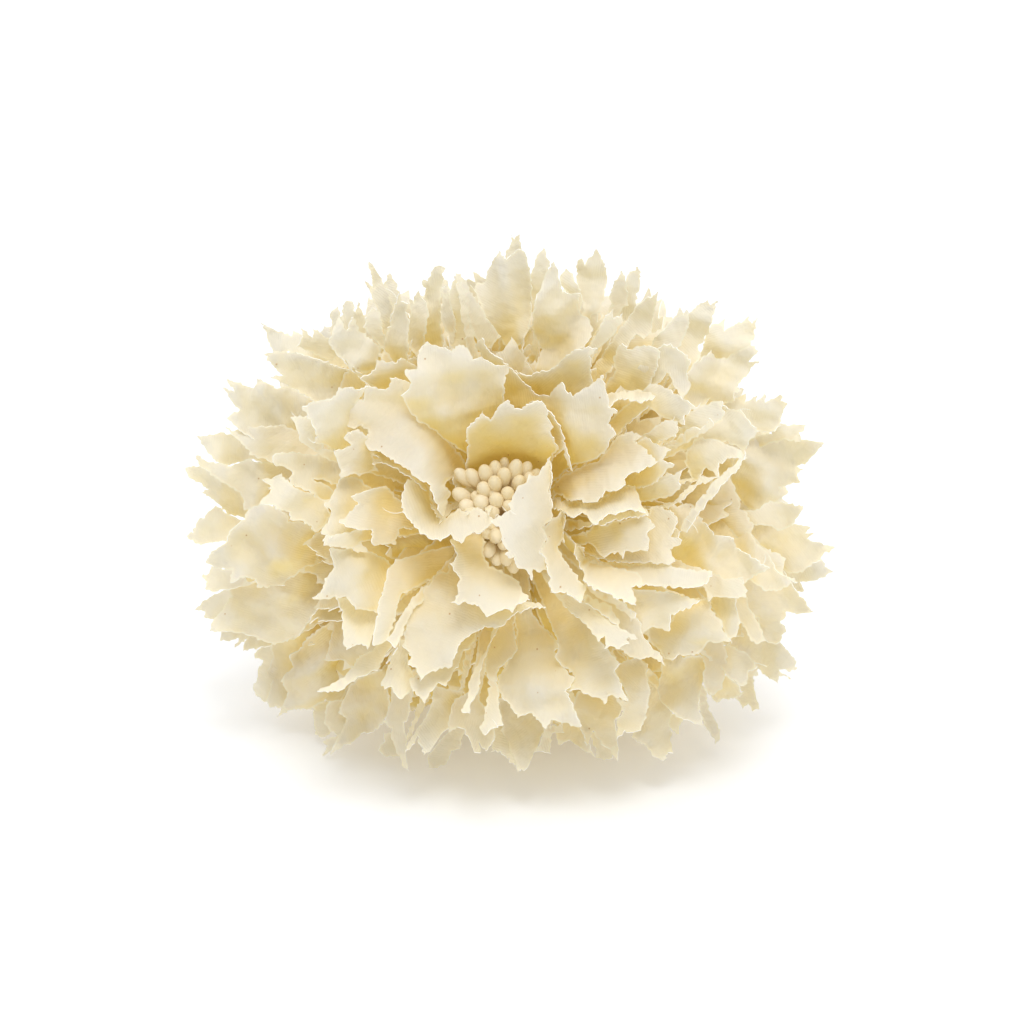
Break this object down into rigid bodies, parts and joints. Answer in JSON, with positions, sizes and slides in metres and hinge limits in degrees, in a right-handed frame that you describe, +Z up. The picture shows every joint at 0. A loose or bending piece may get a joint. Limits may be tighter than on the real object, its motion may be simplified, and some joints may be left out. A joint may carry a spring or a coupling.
{
  "type": "posy",
  "caption": "Full handmade cloth flower, a ball of pinked cream petals round a bunch of bead-headed stamens, resting on its lower petals.",
  "frame": {"origin": "middle of the flower's bounding box at its foot, on the surface that it lies on", "axes": "+X across the flower's width, to the right seen from the front; +Z up; the flower's face looks towards -Y, a little up and a little towards -X"},
  "size_m": [0.1198, 0.1006, 0.0963],
  "materials": {
    "petal_cloth": "stiffened unbleached cloth, finely ribbed, matt, with pinked and slightly frayed edges",
    "inner_petal_cloth": "the same stiffened cloth in its paler lot, matt",
    "stamen_bead": "dipped paste heads, smooth and matt beige",
    "wound_core": "wound cloth strip, matt",
    "thread": "waxed cotton thread, matt"
  },
  "bodies": {
    "root": {"petal_ring_1": "petal_cloth", "petal_ring_2": "petal_cloth", "petal_ring_3": "petal_cloth", "petal_ring_4": "petal_cloth", "petal_ring_5": "petal_cloth", "petal_ring_6": "petal_cloth", "petal_ring_7": "petal_cloth", "petal_ring_8": "petal_cloth", "petal_ring_9": "petal_cloth", "inner_petals": "inner_petal_cloth", "stamen_bunch": "stamen_bead", "bound_core": "wound_core", "binding_thread": "thread"}
  },
  "joints": []
}
